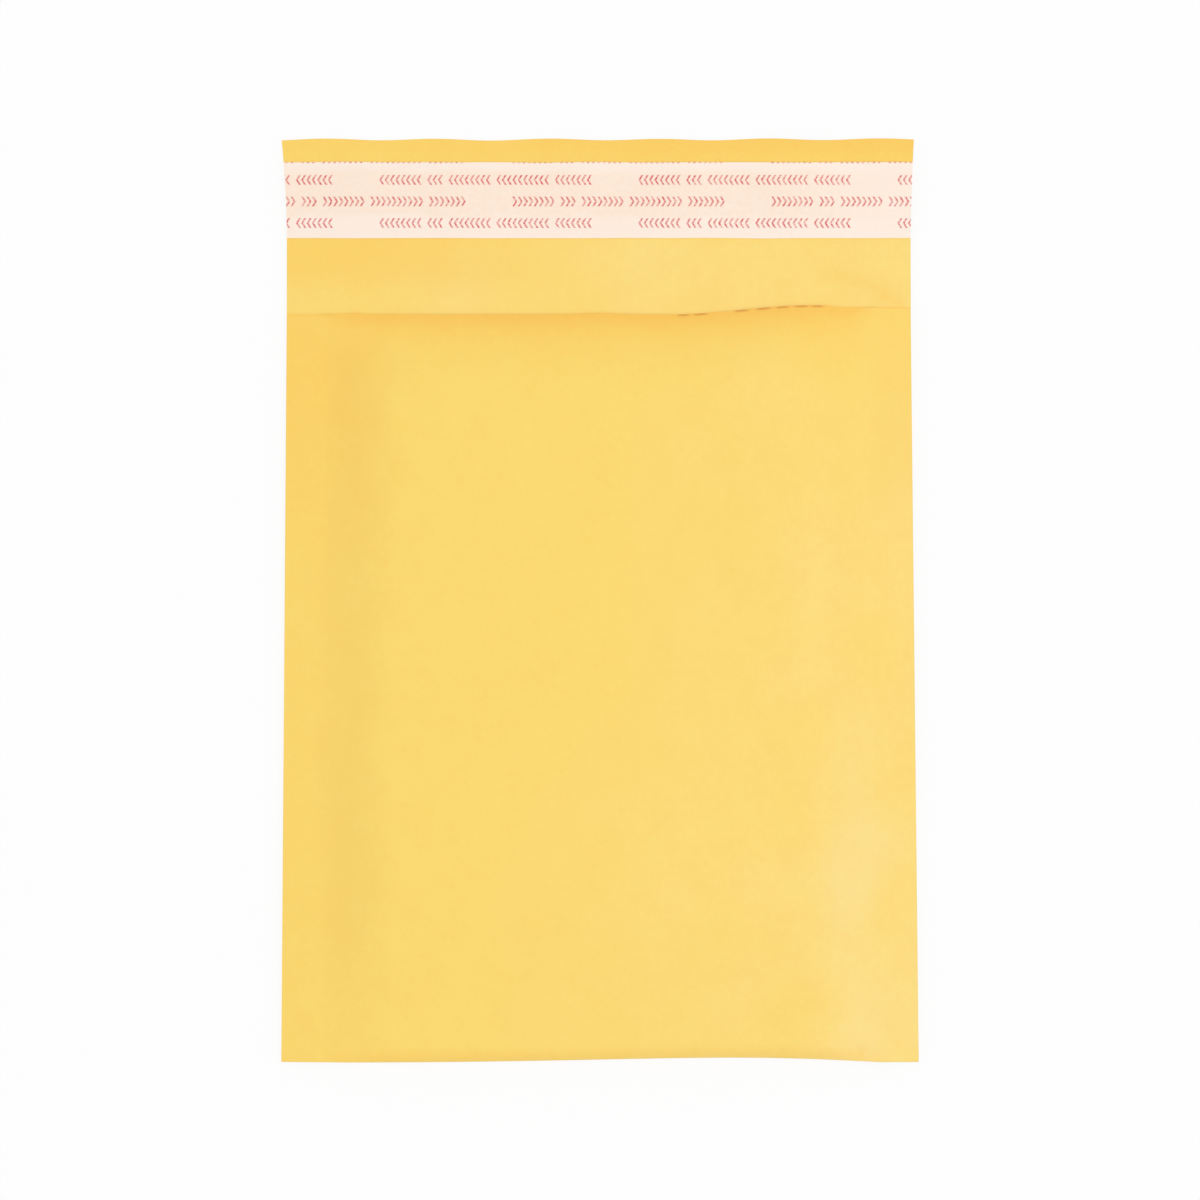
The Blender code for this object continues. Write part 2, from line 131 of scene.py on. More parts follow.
class MailerSizes(bpy.types.PropertyGroup):
    """Sizes of the mailer's sheets and of the way they lie"""

    bottom_y: length("Bottom fold", "Y of the bottom fold at the side seams", -109.9)
    mouth_y: length("Mouth", "Y of the front panel's cut edge at the left seam", 67.8)
    top_y: length("Flap edge", "Y of the flap's free edge", 109.58)
    bottom_half: length("Half width, bottom", "Half the width at the bottom fold", 75.8)
    left_half: length("Half width, left", "Centre line to the left edge at the mouth", 74.5)
    right_half: length("Half width, right", "Centre line to the right edge at the mouth", 73.9)
    left_flare: length("Left flare", "Left flap corner past the waist", 1.3)
    right_flare: length("Right flare", "Right flap corner past the waist", 0.8)
    flare_start: length("Flare start", "Y where the flap starts to widen", 85.0)
    bottom_pull: length("Bottom pull", "How far the padding draws the bottom edge in", 1.15)
    seam_width: length("Seam width", "Flat sealed margin down each side", 8.5)
    seam_lift: length("Seam lift", "Underside of the seam above the table", 2.2)
    seam_droop: length("Seam droop", "The seam's outer edge hangs lower by this", 1.2)
    seam_thickness: length("Seam thickness", "Both papers and the fused film", 0.8)
    pillow: length("Padded height", "Front face above the table in the middle", 12.45)
    side_slope: length("Side slope", "Seam line to the end of the quick rise", 18.0)
    right_extra: length("Right slope extra", "How much wider the right slope is near the mouth", 9.0)
    crown_reach: length("Crown reach", "Seam line to the middle, where the slow crown ends", 66.0)
    shoulder_share: portion("Shoulder share", "The quick rise's share of the whole rise", 0.6)
    back_slope: length("Back slope", "Seam line to the flat back", 12.0)
    back_wave: length("Back wave", "Height of the waves in the back panel", 0.10)
    fold_reach: length("Fold reach", "Bottom fold to the full height", 40.0)
    fold_share: portion("Fold share", "Share of the rise that is left at the bottom fold", 0.40)
    fold_depth: length("Fold depth", "Rounding of the padded bottom fold", 3.5)
    seam_fold_depth: length("Seam fold depth", "The same at the flat seams", 0.9)
    fold_side: length("Fold side", "Seam line to the padded bottom fold", 8.0)
    nose_z: length("Fold height", "Height of the bottom fold's edge", 3.4)
    mouth_reach: length("Mouth reach", "Length over which the front dips to its cut edge", 19.0)
    mouth_dip: portion("Mouth dip", "Share of the rise that is lost at the cut edge", 0.86)
    mouth_room: length("Mouth room", "The front's face down to the back's at the cut edge", 0.70)
    mouth_lift_reach: length("Mouth lift", "Length over which the back is drawn up to the mouth", 16.0)
    mouth_side: length("Mouth side", "Seam line to where the back is fully drawn up", 3.0)
    mouth_curl: length("Mouth curl", "How far the cut edge is turned down", 0.10)
    mouth_pinch: length("Mouth pinch", "The same on top of that at the seams", 0.18)
    crimp: length("Crimp", "The same on top of that in the crimps", 0.12)
    paper: length("Paper", "Thickness of the kraft paper", 0.25)
    film: length("Film", "Thickness of one ply of the film", 0.12)
    film_setback: length("Film setback", "The film's rim behind the front panel's edge", 0.5)
    film_side: length("Film side", "The film's sides in from the paper's edges", 0.4)
    gap: length("Gap", "Clearance of the film and of the liner", 0.03)
    flap_arch: length("Flap arch", "The flap's crest above the table", 1.45)
    flap_crest: length("Flap crest", "Mouth to the flap's crest", 30.0)
    flap_fall: length("Flap fall", "Mouth to where the flap starts to come down", 34.5)
    flap_settle: length("Flap settle", "Length over which the flap's sides come down", 20.0)
    flap_sway: length("Flap sway", "Height of the slow waves in the flap", 0.10)
    flap_ripple: length("Flap ripple", "Height of the waves in the flap's free edge", 0.35)
    ripple: length("Ripple", "Wave in and out of the flap's free edge", 0.25)
    ripple_pitch: length("Ripple pitch", "Length of one such wave", 26.0)
    pucker: length("Pucker", "Height of the puckers along the side seams", 0.30)
    sway: length("Sway", "Height of the slow waves over the padding", 0.22)
    quilt: length("Quilt", "How much the bubbles show through the paper", 0.085)
    bubble_radius: length("Bubble radius", "Foot of a bubble", 5.1)
    bubble_height: length("Bubble height", "A full bubble's height", 2.5)
    bubble_pitch: length("Bubble pitch", "Centre to centre along a row", 12.5)
    liner_low: length("Liner, lower edge", "Y of the liner's edge by the mouth", 86.1)
    liner_high: length("Liner, upper edge", "Y of the liner's edge by the flap's edge", 104.1)
    liner: length("Liner", "Thickness of the release liner", 0.09)
    liner_ragged: length("Liner raggedness", "How far its long edges wander", 0.12)
    glue_low: length("Adhesive, lower edge", "Y of the adhesive's edge by the mouth", 89.2)
    glue_high: length("Adhesive, upper edge", "Y of the adhesive's edge by the flap's edge", 103.6)
    glue: length("Adhesive", "Thickness of the adhesive", 0.12)
    glue_side: length("Adhesive side", "The adhesive's ends in from the paper's edges", 1.2)
    glue_gap: length("Adhesive gap", "Clearance between paper and adhesive", 0.01)
    glue_ragged: length("Adhesive raggedness", "How far its long edges wander", 0.2)


class MailerColours(bpy.types.PropertyGroup):
    """Colours of the mailer's materials"""

    kraft: colour("Kraft", "Golden kraft paper", "#FDDB6E")
    # Painted highlight: this paler tone is mixed in toward the lit right side and low down on the front, and
    # over the flap below the liner
    kraft_pale: colour("Kraft, pale", "Paper rubbed pale by handling", "#FDE18C")
    # The deeper tone of denser flecks, and the colour of the painted shade
    kraft_deep: colour("Kraft, deep", "Denser flecks and strained places of the paper", "#FDC250")
    # Painted shadow: the brown of the crimps along the mouth's cut edge
    kraft_edge: colour("Kraft, crimped", "Crimped spots of the cut edge", "#E3A047")
    film: colour("Film", "Clear polyethylene", "#FAFCFC")
    glue: colour("Adhesive", "Pale amber hot melt", "#F3B98A")
    liner: colour("Liner", "Silicone-coated paper", "#FEEDDF")
    liner_wet: colour("Liner on adhesive", "Liner where it is stuck down", "#FDE6D2")
    ink: colour("Print", "Red print on the liner", "#D8464F")
    floor: colour("Floor", "Pale floor", "#F4F4F4")


def smooth(t):
    t = np.clip(t, 0.0, 1.0)
    return t * t * (3 - 2 * t)


def mix(a, b, t):
    return a + (b - a) * t


def along(start, end, value):
    """0 up to the start, 1 from the end on, and even in between."""
    return np.clip((value - start) / (end - start), 0.0, 1.0)


def ramp(start, end, value):
    """0 up to the start and 1 from the end on, in millimetres, and smooth in between."""
    return smooth(along(start * MM, end * MM, value))


def bell(off, width):
    """1 in the middle, falling off softly to both sides."""
    return np.exp(-((off / width) ** 2))


def cloud(x, y, size, seed):
    """Smooth noise from about -1 to 1 whose lumps are this long."""
    spots = zip(np.ravel(x) / size, np.ravel(y) / size)
    return np.array([noise.noise(Vector((u, v, seed))) for u, v in spots]).reshape(np.shape(x)) * NOISE_GAIN


def near_line(x, y, start, end, width):
    """1 on the line between two points in millimetres, falling off beside it and fading out at its ends."""
    ax, ay, bx, by = (v * MM for v in (*start, *end))
    run = math.hypot(bx - ax, by - ay)
    ux, uy = (bx - ax) / run, (by - ay) / run
    share = ((x - ax) * ux + (y - ay) * uy) / run
    off = (x - ax) * uy - (y - ay) * ux
    ends = smooth(share / FOLD_FADE) * smooth((1 - share) / FOLD_FADE)
    return ends * np.exp(-np.hypot(off, FOLD_CREST * MM) / (width * MM))


def creases(x, y, folds):
    """Height of these soft folds in paper, each sharp on its line."""
    return sum(height * MM * near_line(x, y, start, end, width) for start, end, height, width in folds)


class Pouch:
    """Where the mailer's sheets lie. Points are arrays of x and y, and heights are of the outer side."""

    def __init__(self, sizes):
        self.s = sizes
        self.panel_length = sizes.mouth_y - sizes.bottom_y - sizes.fold_depth
        self.flap_length = sizes.top_y - sizes.mouth_y

    def half_width(self, x, y):
        s = self.s
        waist = np.where(x > 0, s.right_half, s.left_half)
        flare = np.where(x > 0, s.right_flare, s.left_flare) * along(s.flare_start, s.top_y, y) ** 2
        return waist + (s.bottom_half - waist) * along(s.mouth_y, s.bottom_y, y) + flare

    def across(self, t, y):
        """The x of a column, where t runs from -1 at the left edge to 1 at the right one."""
        return t * self.half_width(t, y)

    def bottom(self, x):
        """The padded fold draws the bottom edge in between the seams."""
        start, end = BOTTOM_PULL
        return self.s.bottom_y + self.s.bottom_pull * np.sin(np.pi * along(start, end, x / MM) ** PULL_POWER)

    def mouth(self, x):
        """The cut edge climbs toward the right seam and wanders a little."""
        steps_up = sum(height * ramp(start, end, x) for height, start, end in MOUTH_STEPS)
        bumps = sum(height * bell(x / MM - place, width) for height, place, width in MOUTH_BUMPS)
        return self.s.mouth_y + (steps_up + bumps) * MM

    def behind_mouth(self, x, y):
        """Millimetres from the mouth's edge toward the fold, negative on the flap."""
        return (self.mouth(x) - y) / MM

    def ripples(self, x):
        """Angle of the free edge's waves."""
        return 2 * np.pi * (x - RIPPLE_START * MM) / self.s.ripple_pitch

    def top(self, x):
        even, uneven = 0.75 * np.sin(self.ripples(x)), 0.4 * cloud(x, 0 * x, 17 * MM, 8.2)
        return self.s.top_y + self.s.ripple * (even + uneven)

    def inside(self, x, y):
        """Distance in from the seam's inner line, negative on the seam itself."""
        return self.half_width(x, y) - self.s.seam_width - np.abs(x)

    def side_rise(self, x, y):
        """A quick rise over the first bubbles, then a long slow crown."""
        s = self.s
        slope = s.side_slope + s.right_extra * ramp(5, 60, y) * (x > 0)
        wander = 1.1 * MM * cloud(np.sign(x) * SIDE_NOISE * MM, y, 27 * MM, 2.2) - 0.4 * MM
        inside = np.maximum(self.inside(x, y) + wander, 0.0)
        shoulder = smooth((inside / slope) ** 0.85)
        crown = 1 - (1 - along(0.0, s.crown_reach, inside)) ** 2
        return mix(crown, shoulder, s.shoulder_share)

    def fullness(self, x, y):
        """Share of the side's rise that is there between the fold and the mouth."""
        s = self.s
        from_fold = mix(s.fold_share, 1.0, smooth((y - self.bottom(x)) / s.fold_reach))
        near_mouth = np.clip(1 - (self.mouth(x) - y) / s.mouth_reach, 0.0, 1.0)
        return from_fold * (1 - s.mouth_dip * near_mouth**2)

    def seam_z(self, x, y):
        """Underside of the seam, which hangs lower toward its outer edge."""
        hang = self.s.seam_droop * np.minimum(self.inside(x, y), 0.0) / self.s.seam_width
        return self.s.seam_lift + hang

    def crimps(self, x):
        """Where the mouth's edge is turned down between bubbles, from 0 to 1."""
        found = [smooth((half - np.abs(x / MM - centre)) / half + 0.5) for centre, half in CRIMPS]
        return np.maximum.reduce(found)

    def painted_shade(self, x, y, on_front):
        """Painted shade, from 0 to 1: more orange where the light falls off the padding's slopes by the
        seams, under the mouth and along its cut edge, and at the bottom fold; on the flap, along its free
        edge, in its folds and on its left side.
        """
        inside, behind = self.inside(x, y) / MM, self.behind_mouth(x, y)
        left = mix(0.15, 0.52, ramp(-5, 62, y)) * bell(np.maximum(inside - 6, 0), 10)
        right = 0.24 * ramp(-5, 55, y) * smooth((3 - inside) / 5)
        held = smooth((inside + 4) / 12)
        lip = 1.2 * np.exp(-behind / 5) * np.where(x < 0, mix(0.5, 1.0, held), held)
        fold = 0.36 * bell((y - self.bottom(x)) / MM - 1.4, 1.6) * smooth((inside + 2) / 8)
        rim = 0.85 * bell(behind, 0.35) * smooth(inside / 6)
        front = np.maximum.reduce([np.where(x < 0, left, right), lip, fold]) + rim
        edge = mix(0.38, 0.76, ramp(-70, 35, x)) * bell((self.s.top_y - y) / MM, 6.5)
        # The painted shade of the flap's folds spreads a little wider than the folds
        folds = 0.40 * sum(near_line(x, y, start, end, width * 1.15) for start, end, _, width in FLAP_FOLDS)
        middle = ramp(70, 79, y) * ramp(102, 96, y)
        left_end = 0.42 * ramp(5, -45, x) * middle
        return np.clip(np.where(on_front, front, edge + folds + left_end), 0.0, 1.0)

    def paler_and_painted_highlight(self, x, y, on_front):
        """Painted highlight, from 0 to 1, in patches: paler toward the lit right side of the front, most on
        its right shoulder, and low down; the flap below the liner is paler too, fully toward the right and on
        the left only near the mouth.
        """
        inside, behind = self.inside(x, y) / MM, self.behind_mouth(x, y)
        under_liner = smooth(1 - behind) * smooth((self.s.liner_low - y) / (9 * MM) + 0.6)
        by_mouth = 0.6 * smooth((83 * MM - y) / (12 * MM))
        flap = 0.55 * under_liner * mix(by_mouth, 1.0, ramp(-72, 5, x))
        right = 0.45 * ramp(-10, 70, x) * (1 - 0.8 * bell(behind, 14))
        shoulder = 0.58 * bell(inside - 6, 7) * ramp(20, -75, y) * (x > 0)
        low = 0.16 * ramp(10, -80, y) * ramp(-50, 10, x)
        patches = 0.75 + 0.35 * cloud(x, y, 17 * MM, 4.4)
        return np.clip(np.where(on_front, right + shoulder + low, flap) * patches, 0.0, 1.0)

    def crimp_shadow(self, x, y):
        """Painted shadow in the short crimps along the cut edge, from 0 to 1."""
        return self.crimps(x) * smooth(1.4 - self.behind_mouth(x, y) / 0.5)

    def relief(self, x, y):
        """Puckers, slow waves, bubbles showing through and drawn corners of the front panel."""
        s = self.s
        inside = self.inside(x, y)
        near_seam = bell(inside - 2.5 * MM, 5.5 * MM)
        pucker = s.pucker * near_seam * cloud(np.sign(x) * SIDE_NOISE * MM + x * 0.25, y, 7.5 * MM, 3.1)
        sway = s.sway * self.side_rise(x, y) * cloud(x, y, 41 * MM, 7.7)
        step = 2 * np.pi / (s.bubble_pitch * ROW_STEP)
        turns = [math.radians(angle) for angle in LATTICE_ANGLES]
        lattice = sum(np.cos(step * (x * math.cos(turn) + y * math.sin(turn))) for turn in turns) / 1.5
        quilt = s.quilt * lattice * smooth(inside / (9 * MM)) * (1 + 0.7 * cloud(x, y, 26 * MM, 1.3))
        calm = mix(0.15, 1.0, smooth(self.behind_mouth(x, y) / 9))
        return (pucker + sway + quilt) * calm + creases(x, y, CORNER_FOLDS)

    def lip(self, x, y):
        """How far the mouth's edge is turned down: curled, pinched at the seams and crimped in places."""
        s = self.s
        behind = self.behind_mouth(x, y)
        curl = s.mouth_curl * smooth(1 - behind / 1.6) ** 2
        pinch = s.mouth_pinch * smooth(-self.inside(x, y) / (1.5 * MM)) * smooth(1 - behind / 0.5)
        return curl + pinch + s.crimp * self.crimps(x) * smooth(1 - behind / 0.6) ** 1.5

    def padded(self, x, y):
        """The front's face without its creases and waves."""
        s = self.s
        rise = s.pillow - s.seam_lift - s.seam_thickness
        return self.seam_z(x, y) + s.seam_thickness + rise * self.fullness(x, y) * self.side_rise(x, y)

    def front(self, x, y):
        return self.padded(x, y) + self.relief(x, y) - self.lip(x, y)

    def back(self, x, y):
        """Flat on the table, but at the mouth drawn up until it nearly meets the front."""
        s = self.s
        inside = self.inside(x, y)
        settle = smooth(inside / s.back_slope)
        flat = self.seam_z(x, y) * (1 - settle)
        meeting = self.padded(x, self.mouth(x)) - s.mouth_room
        drawn = smooth(1 - (self.mouth(x) - y) / s.mouth_lift_reach) * smooth(inside / s.mouth_side)
        waves = s.back_wave * np.maximum(cloud(x, y, 24 * MM, 5.5), 0.0) * settle * (1 - drawn)
        return mix(flat, meeting, drawn) + waves

    def flap(self, x, y):
        """Underside of the flap: it leaves the back panel, arches over and comes down at its free edge."""
        s = self.s
        reach = self.flap_length
        out = y - self.mouth(x)
        fallen = smooth((out - s.flap_fall) / (reach - s.flap_fall))
        arch = s.flap_arch * smooth(out / s.flap_crest) * (1 - fallen)
        ripple = s.flap_ripple * (0.5 - 0.5 * np.cos(self.ripples(x))) * smooth(out / reach) ** 2
        sway = s.flap_sway * (cloud(x, y, 27 * MM, 9.1) + 0.8) * smooth(out / (12 * MM))
        side = self.back(x, self.mouth(x)) * (1 - smooth(out / s.flap_settle))
        return side + arch + ripple + creases(x, y, FLAP_FOLDS) + sway

    def panel(self, x, y, face, inset):
        """The front (face 1) or back (face -1) panel's outer side, or a sheet inset from it."""
        surface = self.front if face > 0 else self.back
        if not inset:
            return surface(x, y)
        h = SLOPE_PROBE * MM
        dx = (surface(x + h, y) - surface(x - h, y)) / (2 * h)
        dy = (surface(x, y + h) - surface(x, y - h)) / (2 * h)
        return surface(x, y) - face * inset * np.minimum(np.sqrt(1 + dx**2 + dy**2), STEEPEST)

    def fold_padding(self, x):
        """0 where the bottom fold is flat at the seams, 1 where it is padded."""
        return smooth(self.inside(x, self.s.bottom_y) / self.s.fold_side)

    def nose(self, x):
        """Height of the bottom fold's edge."""
        seam = self.seam_z(x, self.s.bottom_y) + self.s.seam_thickness / 2
        return mix(seam, self.s.nose_z, self.fold_padding(x))

    def depth(self, x):
        """Rounding of the bottom fold."""
        return mix(self.s.seam_fold_depth, self.s.fold_depth, self.fold_padding(x))

    def panel_row(self, t, share, face, inset=0.0, setback=0.0):
        """A panel's row: share 0 is at the fold, 1 at the mouth."""
        guess = self.across(t, mix(self.s.bottom_y, self.s.mouth_y, share))
        y = mix(self.bottom(guess) + self.depth(guess), self.mouth(guess) - setback, share)
        x = self.across(t, y)
        return np.stack([x, y, self.panel(x, y, face, inset)], axis=1)

    def fold_row(self, t, angle, face, inset=0.0):
        """A row of the bottom fold: 0 degrees is at its edge, 90 at the panel."""
        x = self.across(t, self.s.bottom_y)
        start = self.bottom(x) + self.depth(x)
        reach = np.abs(self.panel(x, start, face, inset) - self.nose(x))
        turn = math.radians(angle)
        y = start - (self.depth(x) - inset) * math.cos(turn)
        return np.stack([x, y, self.nose(x) + face * reach * math.sin(turn)], axis=1)

    def flap_row(self, t, share):
        """A row of the flap: share 0 is at the mouth, 1 at the free edge."""
        x = self.across(t, self.s.mouth_y)
        y = mix(self.mouth(x), self.top(x), share)
        x = self.across(t, y)
        return np.stack([x, y, self.flap(x, y)], axis=1)

    def web(self, columns, front, back, inset=0.0, setback=0.0):
        """Rows from the front's mouth round the fold to the back's mouth, at these shares of the panels."""
        rows = [self.panel_row(columns, share, 1, inset, setback) for share in reversed(front)]
        rows += [self.fold_row(columns, angle, 1, inset) for angle in reversed(FOLD_ANGLES)]
        rows += [self.fold_row(columns, angle, -1, inset) for angle in FOLD_ANGLES[1:]]
        return rows + [self.panel_row(columns, share, -1, inset, setback) for share in back]


def steps(stops):
    """Values from stop to stop, each with about the spacing given with it."""
    values = [stops[0][0]]
    for (start, spacing), (end, _) in zip(stops, stops[1:]):
        count = max(1, round((end - start) / spacing))
        values += [start + (end - start) * (i + 1) / count for i in range(count)]
    return values


def columns_across(inset=0.0):
    """Columns from -1 to 1, closer where the sheet bends at the seams and where its edge is turned down in
    crimps.
    """
    left = [d / HALF - 1 for d in steps(LEFT_COLUMNS)]
    right = [1 - d / HALF for d in reversed(steps(RIGHT_COLUMNS)[:-1])]
    edge = 1 - inset / (HALF * MM)
    return np.unique(np.clip(left + right, -edge, edge))


def panel_shares(panel, spacing, fine):
    """Shares of the way from the fold to the mouth, closer at both ends and closest at the cut edge."""
    whole = panel / MM
    places = steps([(0.0, fine), (FOLD_ROWS, spacing), (whole - MOUTH_ROWS, fine), (whole, 1.0)])
    # A step as near the edge as the first of the edge's rows, but for rounding, would double that row
    places = [d for d in places if whole - d > EDGE_ROWS[0] + 0.01] + [whole - d for d in EDGE_ROWS]
    return [d / whole for d in places]


def alone(obj):
    """This object selected by itself and active."""
    bpy.ops.object.select_all(action="DESELECT")
    obj.select_set(True)
    bpy.context.view_layer.objects.active = obj
    return obj


def laid_sheet(name, rows, thickness):
    """A flat grid whose rows are carried to their places, then given its thickness below its face."""
    across = len(rows[0]) - 1
    bpy.ops.object.select_all(action="DESELECT")
    bpy.ops.mesh.primitive_grid_add(x_subdivisions=across, y_subdivisions=len(rows) - 1, size=1.0)
    sheet = alone(bpy.context.object)
    sheet.name = sheet.data.name = name
    sheet.data.vertices.foreach_set("co", np.concatenate(rows).astype(np.float32).ravel())
    sheet.data.update()
    # The first four strips of faces tell which way the sheet looks
    downward = sum(face.normal.z for face in list(sheet.data.polygons)[: across * 4]) < 0
    if downward:
        bpy.ops.object.mode_set(mode="EDIT")
        bpy.ops.mesh.select_all(action="SELECT")
        bpy.ops.mesh.flip_normals()
        bpy.ops.object.mode_set(mode="OBJECT")
    solid = sheet.modifiers.new("Thickness", "SOLIDIFY")
    solid.thickness = thickness
    solid.offset = -1.0
    solid.use_even_offset = False
    bpy.ops.object.modifier_apply(modifier=solid.name)
    return sheet


def softened(obj, degrees):
    """Shaded smooth, but for edges that turn by more than this."""
    alone(obj)
    bpy.ops.object.shade_smooth_by_angle(angle=math.radians(degrees))


def mark_points(obj, name, values):
    """Stores one number for each point of the mesh, for the material to read."""
    spots = obj.data.attributes.new(name, "FLOAT", "POINT")
    spots.data.foreach_set("value", np.asarray(values, dtype=np.float32))


def points_of(obj):
    """The mesh's points, one row for each."""
    found = np.empty(len(obj.data.vertices) * 3, dtype=np.float32)
    obj.data.vertices.foreach_get("co", found)
    return found.reshape(-1, 3).astype(np.float64)


def given(context):
    """The sizes, the places of the sheets that follow from them, and the colours."""
    sizes = context.scene.mailer_sizes
    return sizes, Pouch(sizes), context.scene.mailer_colours


def dressed(obj, slot, material, *nodes):
    """Hands the finished piece over: its body, the nodes that it stands for and its material. The slot is not
    used.
    """
    obj.data.materials.clear()
    obj.data.materials.append(material)
    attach(obj, "root")
    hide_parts(*nodes)


def feed(tree, node, inputs):
    """Links or sets a node's inputs, given by their names or in their order."""
    for key, value in inputs.items() if isinstance(inputs, dict) else enumerate(inputs):
        if isinstance(value, bpy.types.NodeSocket):
            tree.links.new(value, node.inputs[key])
        else:
            node.inputs[key].default_value = value


def add(tree, kind, inputs=(), **settings):
    """Adds a node, sets it up and feeds it."""
    made = tree.nodes.new(kind)
    for key, value in settings.items():
        setattr(made, key, value)
    feed(tree, made, inputs)
    return made


def new_material(name):
    """A material with only its shader, its nodes and the shader."""
    made = bpy.data.materials.new(name)
    made.use_nodes = True
    return made, made.node_tree, made.node_tree.nodes["Principled BSDF"]


def in_millimetres(tree):
    """The piece's own coordinates in millimetres, so that a pattern's scale is in lumps per millimetre."""
    place = add(tree, "ShaderNodeTexCoord").outputs["Object"]
    return add(tree, "ShaderNodeVectorMath", {0: place, "Scale": 1 / MM}, operation="SCALE").outputs[0]


def kraft_material(colours):
    """Machine-glazed kraft paper, dyed golden in the pulp: matt, with fine fibres along the web and
    slightly cloudy where the pulp lies thicker. Painted shade makes it more orange where the light falls off
    the padding's slopes, under the mouth, at the bottom fold and on the flap's edge and folds; a painted
    highlight makes it paler toward the lit right side and low down, and it is paler on the flap below the
    liner.
    The crimps along the cut edge hold painted brown shadow."""
    made, tree, shader = new_material("kraft_paper_machine_glazed")
    place = in_millimetres(tree)
    # Fibres are some 1 to 3 mm long and 0.03 mm wide; they are drawn 0.3 mm wide, or they would not show
    drawn_out = add(tree, "ShaderNodeMapping", {"Vector": place, "Scale": (1.0, 0.3, 1.0)}).outputs[0]
    fibre, cloudy, fleck = (
        add(tree, "ShaderNodeTexNoise", inputs).outputs["Fac"]
        for inputs in (
            {"Vector": drawn_out, "Scale": 3.0, "Detail": 3.0, "Roughness": 0.6},
            # Clouds of thicker pulp some 9 mm across, and flecks of some 2 mm
            {"Vector": place, "Scale": 0.11, "Detail": 4.0, "Roughness": 0.55},
            {"Vector": place, "Scale": 0.5, "Detail": 3.0},
        )
    )
    # Painted shade, the paler tone with its painted highlight, and painted shadow in the crimps, stored on
    # the sheet's points
    painted_shade, paler_and_painted_highlight, crimp_shadow = (
        add(tree, "ShaderNodeAttribute", attribute_name=name).outputs["Fac"]
        for name in ("painted_shade", "paler_and_painted_highlight", "crimp_shadow")
    )
    tone = 0.0
    for pattern, weight in ((fibre, 0.34), (cloudy, 0.44), (fleck, 0.42)):
        tone = add(tree, "ShaderNodeMath", (pattern, weight, tone), operation="MULTIPLY_ADD").outputs[0]
    tone = add(tree, "ShaderNodeMapRange", (tone, 0.46, 0.76, 0.0, 0.19)).outputs[0]
    # The deeper tone: random fibres, clouds and flecks of the paper, plus the painted shade
    deeper = add(tree, "ShaderNodeMath", (painted_shade, 0.60, tone), operation="MULTIPLY_ADD", use_clamp=True)
    paper = (*colours.kraft, 1.0)
    # Mixed in turn: the paler tone with its painted highlight, the deeper tone with the painted shade, and
    # the crimps' painted shadow
    for share, other in (
        (paler_and_painted_highlight, colours.kraft_pale), (deeper.outputs[0], colours.kraft_deep), (crimp_shadow, colours.kraft_edge)
    ):
        inputs = {0: share, 6: paper, 7: (*other, 1.0)}
        paper = add(tree, "ShaderNodeMix", inputs, data_type="RGBA").outputs[2]
    rough = add(tree, "ShaderNodeMapRange", (fibre, 0.3, 0.7, 0.62, 0.78)).outputs[0]
    fine = add(tree, "ShaderNodeBump", {"Height": fibre, "Strength": 0.35, "Distance": 0.06 * MM}).outputs[0]
    broad = add(
        tree, "ShaderNodeBump", {"Height": fleck, "Strength": 0.30, "Distance": 0.1 * MM, "Normal": fine}
    ).outputs[0]
    feed(tree, shader, {"Base Color": paper, "Roughness": rough, "IOR": 1.47, "Normal": broad})
    return made


def film_material(colours):
    """Blown low-density polyethylene: clear, slippery and slightly milky where it is seen edge on."""
    made, tree, shader = new_material("bubble_film_polyethylene")
    place = in_millimetres(tree)
    # Draw lines of the blown film, some 2 mm apart
    drawn = add(tree, "ShaderNodeMapping", {"Vector": place, "Scale": (0.5, 0.05, 0.5)}).outputs[0]
    streak = add(tree, "ShaderNodeTexNoise", {"Vector": drawn, "Scale": 1.0, "Detail": 3.0}).outputs["Fac"]
    facing = add(tree, "ShaderNodeLayerWeight", {"Blend": 0.35}).outputs["Facing"]
    haze = add(tree, "ShaderNodeMapRange", (facing, 0.0, 1.0, 0.14, 0.62)).outputs[0]
    milky = add(tree, "ShaderNodeMath", (streak, 0.12, haze), operation="MULTIPLY_ADD", use_clamp=True)
    tint = add(tree, "ShaderNodeMix", {0: streak, 6: (*colours.film, 1.0), 7: WHITE}, data_type="RGBA")
    rough = add(tree, "ShaderNodeMapRange", (streak, 0.0, 1.0, 0.10, 0.24)).outputs[0]
    bump = add(tree, "ShaderNodeBump", {"Height": streak, "Strength": 0.25, "Distance": 0.2 * MM}).outputs[0]
    feed(tree, shader, {"Alpha": milky.outputs[0], "Base Color": tint.outputs[2]})
    feed(tree, shader, {"Roughness": rough, "IOR": 1.51, "Normal": bump})
    return made


def glue_material(colours):
    """Pressure-sensitive hot melt, slot-coated in a band: pale amber, tacky and faintly ribbed by the die."""
    made, tree, shader = new_material("hot_melt_slot_coated")
    place = in_millimetres(tree)
    # The die's ribs run along the band, some 0.7 mm apart
    ribbed = add(tree, "ShaderNodeMapping", {"Vector": place, "Scale": (0.12, 1.4, 1.0)}).outputs[0]
    ribs = add(tree, "ShaderNodeTexNoise", {"Vector": ribbed, "Scale": 1.0, "Detail": 2.0}).outputs["Fac"]
    ends = {6: (*colours.glue, 1.0), 7: (*colours.liner_wet, 1.0)}
    tint = add(tree, "ShaderNodeMix", {0: ribs, **ends}, data_type="RGBA").outputs[2]
    rough = add(tree, "ShaderNodeMapRange", (ribs, 0.0, 1.0, 0.22, 0.40)).outputs[0]
    bump = add(tree, "ShaderNodeBump", {"Height": ribs, "Strength": 0.4, "Distance": 0.1 * MM}).outputs[0]
    feed(tree, shader, {"Base Color": tint, "Roughness": rough, "IOR": 1.49, "Normal": bump})
    return made


